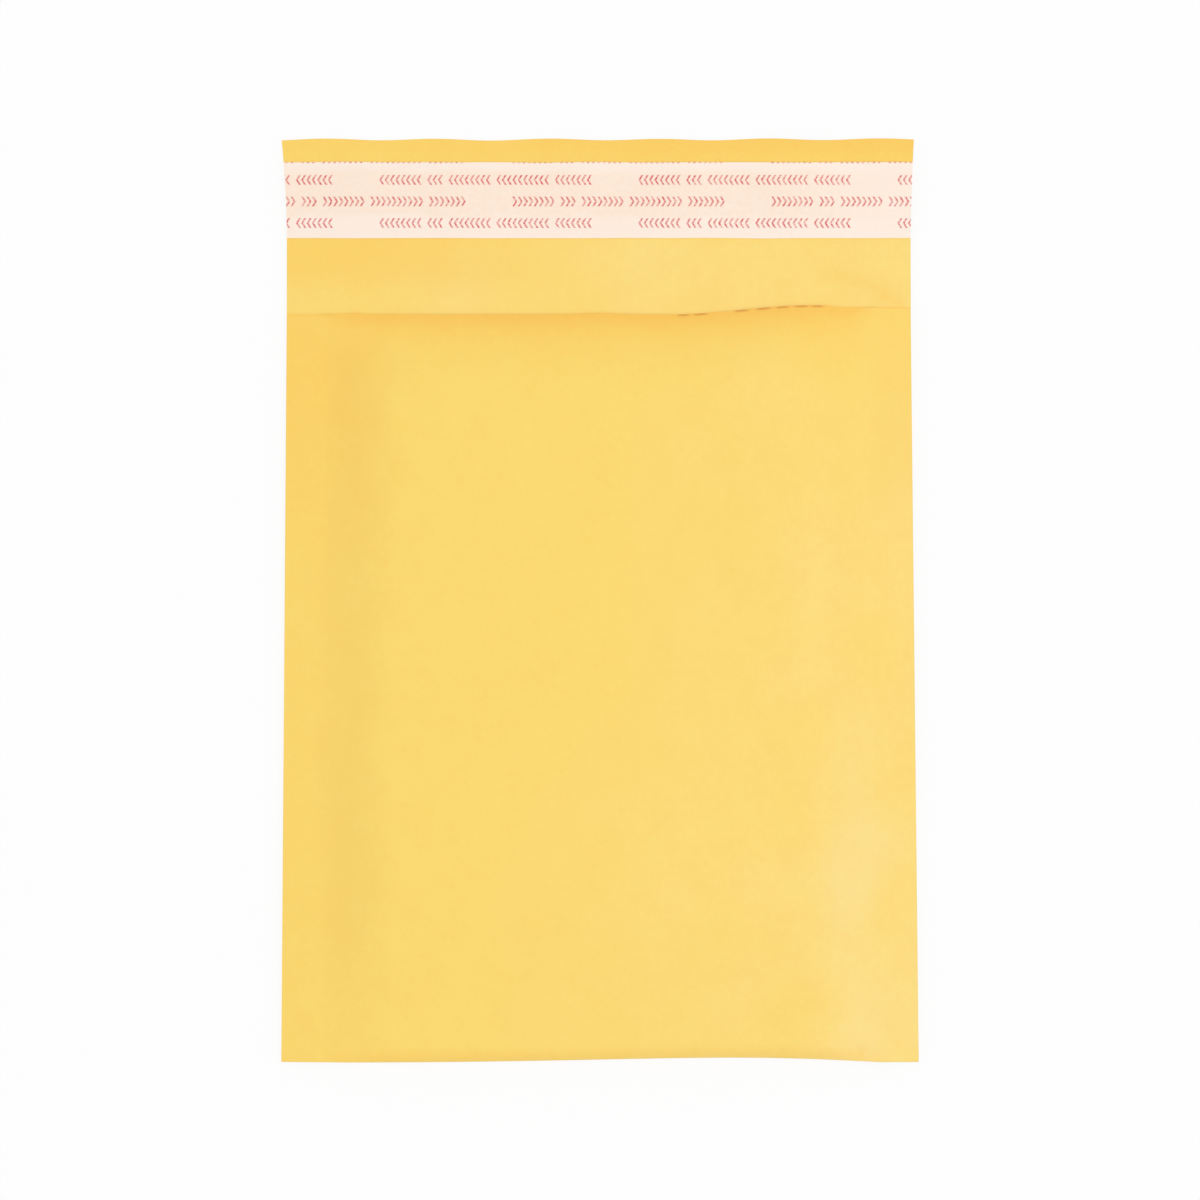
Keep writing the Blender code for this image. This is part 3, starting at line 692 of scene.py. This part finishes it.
def printed_marks(tree, x, y):
    """Rows of small red chevrons that point the way to peel, in groups, every other row turned about."""
    # Millimetres: first row's foot, row to row, half a chevron's height, chevron to chevron
    foot, pitch, tall, cell = 87.1, 5.12, 1.18, 1.265
    # Millimetres: a group's start, its length, group to group, and how much a turned row is moved along
    first, group, repeat, moved = -52.5, 50.6, 61.6, 31.6
    found = {"x": x, "y": y}
    # Each row has the name of its result, the operation, and numbers or earlier results
    table = [
        ("up", "SUBTRACT", "y", foot),
        ("rows up", "DIVIDE", "up", pitch),
        ("row", "FLOOR", "rows up"),
        ("turned", "FLOORED_MODULO", "row", 2.0),
        ("in row", "FLOORED_MODULO", "up", pitch),
        ("above middle", "SUBTRACT", "in row", pitch / 2),
        ("level", "ABSOLUTE", "above middle"),
        ("start", "MULTIPLY_ADD", "turned", moved, first),
        ("past start", "SUBTRACT", "x", "start"),
        ("run", "FLOORED_MODULO", "past start", repeat),
        ("printed", "LESS_THAN", "run", group),
        ("cells", "DIVIDE", "run", cell),
        ("place", "FLOOR", "cells"),
    ]
    # Chevrons that are left out of each group
    for blank in (8.0, 12.0, 21.0, 32.0):
        table += [
            ("blank", "COMPARE", "place", blank, 0.5),
            ("kept", "SUBTRACT", 1.0, "blank"),
            ("printed", "MULTIPLY", "printed", "kept"),
        ]
    # A chevron's arms lean back from its tip, 0.37 mm ahead of its middle, by 0.62 mm for each millimetre
    table += [
        ("in cell", "FLOORED_MODULO", "run", cell),
        ("spot", "SUBTRACT", "in cell", cell / 2),
        ("way", "MULTIPLY_ADD", "turned", 2.0, -1.0),
        ("lean", "MULTIPLY_ADD", "level", -0.62, 0.37),
        ("arm", "MULTIPLY", "way", "lean"),
        ("beside arm", "SUBTRACT", "spot", "arm"),
        ("off", "ABSOLUTE", "beside arm"),
    ]
    for name, operation, *values in table:
        inputs = [found.get(value, value) for value in values]
        found[name] = add(tree, "ShaderNodeMath", inputs, operation=operation).outputs[0]
    stroke = add(tree, "ShaderNodeMapRange", (found["off"], 0.17, 0.33, 1.0, 0.0)).outputs[0]
    height = add(tree, "ShaderNodeMapRange", (found["level"], tall - 0.1, tall + 0.06, 1.0, 0.0)).outputs[0]
    chevron = add(tree, "ShaderNodeMath", (stroke, height), operation="MULTIPLY").outputs[0]
    return add(tree, "ShaderNodeMath", (chevron, found["printed"]), operation="MULTIPLY").outputs[0]


def liner_material(colours):
    """Glassine release paper, calendered and silicone-coated: satin and slightly see-through, so it
    looks pinker where the adhesive wets its back, with a worn red flexographic print."""
    made, tree, shader = new_material("release_liner_siliconised")
    place = in_millimetres(tree)
    split = add(tree, "ShaderNodeSeparateXYZ", (place,))
    x, y = split.outputs["X"], split.outputs["Y"]
    # The wetted band's edges wander by up to 2.75 mm, in lumps some 12 mm long and 4 mm wide
    stretched = add(tree, "ShaderNodeMapping", {"Vector": place, "Scale": (0.5, 1.6, 1.0)}).outputs[0]
    wander = add(tree, "ShaderNodeTexNoise", {"Vector": stretched, "Scale": 0.16, "Detail": 3.0}).outputs[0]
    shift = add(tree, "ShaderNodeMath", (wander, 5.5, -2.75), operation="MULTIPLY_ADD").outputs[0]
    level = add(tree, "ShaderNodeMath", (y, shift), operation="ADD").outputs[0]
    grain = add(tree, "ShaderNodeTexNoise", {"Vector": place, "Scale": 0.9, "Detail": 4.0}).outputs["Fac"]
    # The band starts and ends across the tape, and toward the tape's right end it is wetted less
    wet = add(tree, "ShaderNodeMapRange", (level, 89.6, 91.6, 0.0, 1.0)).outputs[0]
    high = add(tree, "ShaderNodeMapRange", (level, 101.0, 103.0, 1.0, 0.0)).outputs[0]
    held = add(tree, "ShaderNodeMapRange", (x, 48.0, 66.0, 1.0, 0.4)).outputs[0]
    for share in (high, held, grain):
        wet = add(tree, "ShaderNodeMath", (wet, share), operation="MULTIPLY").outputs[0]
    wet = add(tree, "ShaderNodeMath", (wet, 1.6), operation="MULTIPLY", use_clamp=True).outputs[0]
    # Worn print: the ink lies unevenly, in patches of about half a millimetre
    patchy = add(tree, "ShaderNodeTexNoise", {"Vector": place, "Scale": 2.2, "Detail": 2.0}).outputs["Fac"]
    cover = add(tree, "ShaderNodeMapRange", (patchy, 0.35, 0.62, 0.35, 0.95)).outputs[0]
    ink = add(tree, "ShaderNodeMath", (printed_marks(tree, x, y), cover), operation="MULTIPLY").outputs[0]
    paper = (*colours.liner, 1.0)
    for share, other in ((wet, colours.liner_wet), (ink, colours.ink)):
        inputs = {0: share, 6: paper, 7: (*other, 1.0)}
        paper = add(tree, "ShaderNodeMix", inputs, data_type="RGBA").outputs[2]
    rough = add(tree, "ShaderNodeMapRange", (grain, 0.0, 1.0, 0.32, 0.48)).outputs[0]
    bump = add(tree, "ShaderNodeBump", {"Height": wander, "Strength": 0.35, "Distance": 0.8 * MM}).outputs[0]
    feed(tree, shader, {"Base Color": paper, "Roughness": rough, "IOR": 1.45, "Normal": bump})
    return made


class MAILER_OT_kraft_sheet(bpy.types.Operator):
    """Lays the kraft web: front panel, bottom fold, back panel and flap, all one sheet"""

    bl_idname = "mailer.kraft_sheet"
    bl_label = "Kraft sheet"

    def execute(self, context):
        s, pouch, colours = given(context)
        columns = columns_across()
        front = panel_shares(pouch.panel_length, spacing=1.35, fine=0.8)
        back = panel_shares(pouch.panel_length, spacing=3.2, fine=2.0)
        flap = steps([(0.0, 1.3), (pouch.flap_length / MM, 1.0)])
        rows = pouch.web(columns, front, back)
        rows += [pouch.flap_row(columns, d * MM / pouch.flap_length) for d in flap[1:]]
        sheet = laid_sheet("kraft_sheet", rows, s.paper)
        x, y, _ = points_of(sheet).T
        # The front panel's rows come first, round to the fold's edge, and the inner side repeats them all
        front_points = (len(front) + len(FOLD_ANGLES)) * len(columns)
        on_front = np.tile(np.arange(len(x) // 2) < front_points, 2)
        # Painted shade, painted highlight and painted shadow in the crimps, for the material to mix into the
        # paper's colour
        mark_points(sheet, "painted_shade", pouch.painted_shade(x, y, on_front))
        mark_points(sheet, "paler_and_painted_highlight", pouch.paler_and_painted_highlight(x, y, on_front))
        mark_points(sheet, "crimp_shadow", pouch.crimp_shadow(x, y) * on_front)
        softened(sheet, 50)
        dressed(sheet, "kraft_paper", kraft_material(colours), "kraft_paper")
        return {"FINISHED"}


class MAILER_OT_bubble_film(bpy.types.Operator):
    """Lays the film bag inside the paper, with its bubbles facing into the pocket"""

    bl_idname = "mailer.bubble_film"
    bl_label = "Bubble film"

    # The flat crown's radius as a share of the foot's, then radius and further drop of each ring below it
    crown = 0.34
    rings = ((0.66, 0.06), (0.86, 0.17), (0.965, 0.33), (1.0, 0.44))
    # Free film round the bubbles: at the bottom, by the seams and at the mouth
    bottom_rim, side_rim, mouth_rim = 4.6 * MM, 1.5 * MM, 0.5 * MM
    # Half the room between facing bubbles, and the least share of its height that a bubble keeps
    half_room, flattest = 0.1 * MM, 0.08
    # A bubble's foot lies inside the film by this share of its thickness
    sunk = 0.6

    def bubble(self, s):
        """One bubble: a disc for its flat crown, extruded down and out to its foot, and closed there."""
        bpy.ops.object.select_all(action="DESELECT")
        radius = s.bubble_radius * self.crown
        bpy.ops.mesh.primitive_circle_add(vertices=12, radius=radius, fill_type="TRIFAN")
        top = alone(bpy.context.object)
        bpy.ops.object.mode_set(mode="EDIT")
        bpy.ops.mesh.select_all(action="SELECT")
        bpy.ops.mesh.region_to_loop()
        last = self.crown
        for reach, drop in self.rings:
            down = (0.0, 0.0, -drop * s.bubble_height)
            bpy.ops.mesh.extrude_edges_move(TRANSFORM_OT_translate={"value": down})
            grow = reach / last
            bpy.ops.transform.resize(value=(grow, grow, 1.0), center_override=(0.0, 0.0, 0.0))
            last = reach
        bpy.ops.mesh.edge_face_add()
        bpy.ops.mesh.select_all(action="SELECT")
        bpy.ops.mesh.normals_make_consistent(inside=False)
        bpy.ops.transform.translate(value=(0.0, 0.0, s.bubble_height))
        bpy.ops.object.mode_set(mode="OBJECT")
        return top

    def centres(self, s, pouch):
        """Rows of whole bubbles: those that the mouth's edge would cut have lost their air and lie flat."""
        step = s.bubble_pitch * ROW_STEP
        low = s.bottom_y + self.bottom_rim + s.bubble_radius
        reach = math.ceil(s.bottom_half / s.bubble_pitch)
        found = []
        for row in range(int((s.mouth_y - low) / step) + 2):
            for column in range(-reach, reach + 1):
                spot = (s.bubble_pitch * (column + 0.5 * (row % 2)), low + row * step)
                x, y = (np.array([v]) for v in spot)
                high = pouch.mouth(x)[0] - s.film_setback - s.bubble_radius - self.mouth_rim
                if pouch.inside(x, y)[0] > s.bubble_radius + self.side_rim and spot[1] < high:
                    found.append(spot)
        return found

    def placed(self, one, pouch, spot, face, inset):
        """A copy of the bubble on the film's pocket side, squeezed where the padding is thin."""
        copy = bpy.data.objects.new("bubble", one.data.copy())
        bpy.context.scene.collection.objects.link(copy)
        places = points_of(copy)
        x, y = places[:, 0] + spot[0], places[:, 1] + spot[1]
        apart = min(pouch.panel(x, y, 1, inset) - pouch.panel(x, y, -1, inset))
        squeeze = min(1.0, max(self.flattest, (apart / 2 - self.half_room) / pouch.s.bubble_height))
        z = pouch.panel(x, y, face, inset) - face * places[:, 2] * squeeze
        copy.data.vertices.foreach_set("co", np.stack([x, y, z], axis=1).astype(np.float32).ravel())
        if face > 0:
            copy.data.flip_normals()
        copy.data.update()
        return copy

    def execute(self, context):
        s, pouch, colours = given(context)
        inset = s.paper + s.gap
        edge = 1 - s.film_side / (HALF * MM)
        columns = np.clip(np.linspace(-1, 1, 91), -edge, edge)
        shares = panel_shares(pouch.panel_length, spacing=2.2, fine=1.2)
        film = laid_sheet("bubble_film", pouch.web(columns, shares, shares, inset, s.film_setback), s.film)
        one = self.bubble(s)
        copies = [
            self.placed(one, pouch, spot, face, inset + s.film * self.sunk)
            for face in (1, -1)
            for spot in self.centres(s, pouch)
        ]
        bpy.data.objects.remove(one, do_unlink=True)
        alone(film)
        for copy in copies:
            copy.select_set(True)
        bpy.ops.object.join()
        softened(film, 60)
        dressed(film, "bubble_film", film_material(colours), "bubble_lining")
        return {"FINISHED"}


def band(pouch, name, low, high, side, lift, thickness, ragged, seed):
    """A strip across the flap, from side to side but for this inset, its long edges slightly uneven."""
    columns = columns_across(side)
    rows = []
    for share in np.linspace(0, 1, 17):
        x = pouch.across(columns, mix(low, high, share))
        lower = low + ragged * cloud(x, np.full(len(x), seed), 16 * MM, seed)
        upper = high + ragged * cloud(x, np.full(len(x), seed + 1), 16 * MM, seed + 3)
        y = mix(lower, upper, share)
        x = pouch.across(columns, y)
        rows.append(np.stack([x, y, pouch.flap(x, y) + lift(y) + thickness], axis=1))
    return laid_sheet(name, rows, thickness)


class MAILER_OT_adhesive_band(bpy.types.Operator):
    """Lays the band of hot melt across the flap"""

    bl_idname = "mailer.adhesive_band"
    bl_label = "Adhesive band"

    def execute(self, context):
        s, pouch, colours = given(context)
        glue = band(
            pouch, "adhesive_band", s.glue_low, s.glue_high, side=s.glue_side,
            lift=lambda y: s.paper + s.glue_gap, thickness=s.glue, ragged=s.glue_ragged, seed=2.0,
        )
        softened(glue, 40)
        dressed(glue, "hot_melt_adhesive", glue_material(colours), "adhesive_strip")
        return {"FINISHED"}


class MAILER_OT_release_liner(bpy.types.Operator):
    """Lays the release liner over the adhesive"""

    bl_idname = "mailer.release_liner"
    bl_label = "Release liner"

    def execute(self, context):
        s, pouch, colours = given(context)

        def lift(y):
            """The liner climbs onto the adhesive just before it and comes down just past it."""
            up = smooth((y - s.glue_low + 1.6 * MM) / (1.4 * MM))
            down = smooth((s.glue_high + 1.4 * MM - y) / (1.0 * MM))
            return s.paper + s.gap + s.glue * up * down

        liner = band(
            pouch, "release_liner_tape", s.liner_low, s.liner_high, side=0.0,
            lift=lift, thickness=s.liner, ragged=s.liner_ragged, seed=6.0,
        )
        softened(liner, 40)
        dressed(liner, "release_liner", liner_material(colours), "release_liner")
        return {"FINISHED"}


class MAILER_OT_stage(bpy.types.Operator):
    """Sets the pale floor, the soft lamp, the sky and the camera straight above"""

    bl_idname = "mailer.stage"
    bl_label = "Floor, light and camera"

    floor_size, floor_z = 6.0, -0.2 * MM
    # The share of the floor's look that is plain white, so that the picture has the photo's background
    floor_white = 0.90
    sky_strength, backdrop_strength = 0.845, 1.0
    lamp_place, lamp_size, lamp_power = (0.70, 0.12, 2.00), 1.0, 6.8
    # Focal length, sensor, the width that the picture covers, and the height where it covers it
    lens, sensor, covers, covers_at = 200 * MM, 36 * MM, 285.2 * MM, 3 * MM

    def floor(self, context):
        bpy.ops.object.select_all(action="DESELECT")
        bpy.ops.mesh.primitive_plane_add(size=self.floor_size, location=(0.0, 0.0, self.floor_z))
        floor = bpy.context.object
        floor.name = "floor"
        made, tree, shader = new_material("pale_floor")
        feed(tree, shader, {"Base Color": (*context.scene.mailer_colours.floor, 1.0), "Roughness": 0.9})
        white = add(tree, "ShaderNodeEmission", {"Strength": 1.0}).outputs[0]
        share = add(tree, "ShaderNodeMath", (seen_directly(tree), self.floor_white), operation="MULTIPLY")
        both = add(tree, "ShaderNodeMixShader", (share.outputs[0], shader.outputs[0], white)).outputs[0]
        feed(tree, tree.nodes["Material Output"], {"Surface": both})
        floor.data.materials.append(made)

    def world(self, context):
        world = bpy.data.worlds.new("soft_sky")
        context.scene.world = world
        world.use_nodes = True
        tree = world.node_tree
        tree.nodes.clear()
        sky, backdrop = (
            add(tree, "ShaderNodeBackground", {"Color": WHITE, "Strength": strength}).outputs[0]
            for strength in (self.sky_strength, self.backdrop_strength)
        )
        both = add(tree, "ShaderNodeMixShader", (seen_directly(tree), sky, backdrop)).outputs[0]
        add(tree, "ShaderNodeOutputWorld", {"Surface": both})

    def lamp(self):
        bpy.ops.object.light_add(type="AREA", location=self.lamp_place)
        lamp = bpy.context.object
        lamp.name = "key"
        lamp.data.shape = "DISK"
        lamp.data.size = self.lamp_size
        lamp.data.energy = self.lamp_power
        lamp.rotation_euler = (-Vector(self.lamp_place)).to_track_quat("-Z", "Y").to_euler()

    def camera(self, context):
        height = self.covers_at + self.covers * self.lens / self.sensor
        bpy.ops.object.camera_add(location=(0.0, 0.0, height), rotation=(0.0, 0.0, 0.0))
        camera = bpy.context.object
        camera.name = "camera"
        camera.data.lens = self.lens / MM
        camera.data.sensor_width = self.sensor / MM
        camera.data.clip_start, camera.data.clip_end = 0.01, 20.0
        context.scene.camera = camera

    def execute(self, context):
        self.floor(context)
        self.world(context)
        self.lamp()
        self.camera(context)
        context.scene.view_settings.view_transform = "Standard"
        return {"FINISHED"}


def seen_directly(tree):
    """1 for what the camera sees straight, in a reflection or through something clear."""
    path = add(tree, "ShaderNodeLightPath")
    found = path.outputs["Is Camera Ray"]
    for name in ("Is Glossy Ray", "Is Transmission Ray"):
        found = add(tree, "ShaderNodeMath", (found, path.outputs[name]), operation="MAXIMUM").outputs[0]
    return found


class MAILER_PT_pieces(bpy.types.Panel):
    """Lists the mailer's pieces, sizes and colours"""

    bl_label = "Bubble mailer"
    bl_space_type = "VIEW_3D"
    bl_region_type = "UI"
    bl_category = "Mailer"

    def draw(self, context):
        for operator in OPERATORS:
            self.layout.operator(operator.bl_idname)
        for group in (context.scene.mailer_sizes, context.scene.mailer_colours):
            box = self.layout.box()
            for name in group.__annotations__:
                box.prop(group, name)


OPERATORS = (
    MAILER_OT_kraft_sheet,
    MAILER_OT_bubble_film,
    MAILER_OT_adhesive_band,
    MAILER_OT_release_liner,
    MAILER_OT_stage,
)
CLASSES = (MailerSizes, MailerColours, *OPERATORS, MAILER_PT_pieces)


def register():
    for made in CLASSES:
        bpy.utils.register_class(made)
    bpy.types.Scene.mailer_sizes = PointerProperty(type=MailerSizes)
    bpy.types.Scene.mailer_colours = PointerProperty(type=MailerColours)


def unregister():
    del bpy.types.Scene.mailer_sizes
    del bpy.types.Scene.mailer_colours
    for made in reversed(CLASSES):
        bpy.utils.unregister_class(made)


def main():
    register()
    bpy.ops.mailer.kraft_sheet()
    bpy.ops.mailer.bubble_film()
    bpy.ops.mailer.adhesive_band()
    bpy.ops.mailer.release_liner()
    bpy.ops.mailer.stage()


if __name__ == "__main__":
    main()
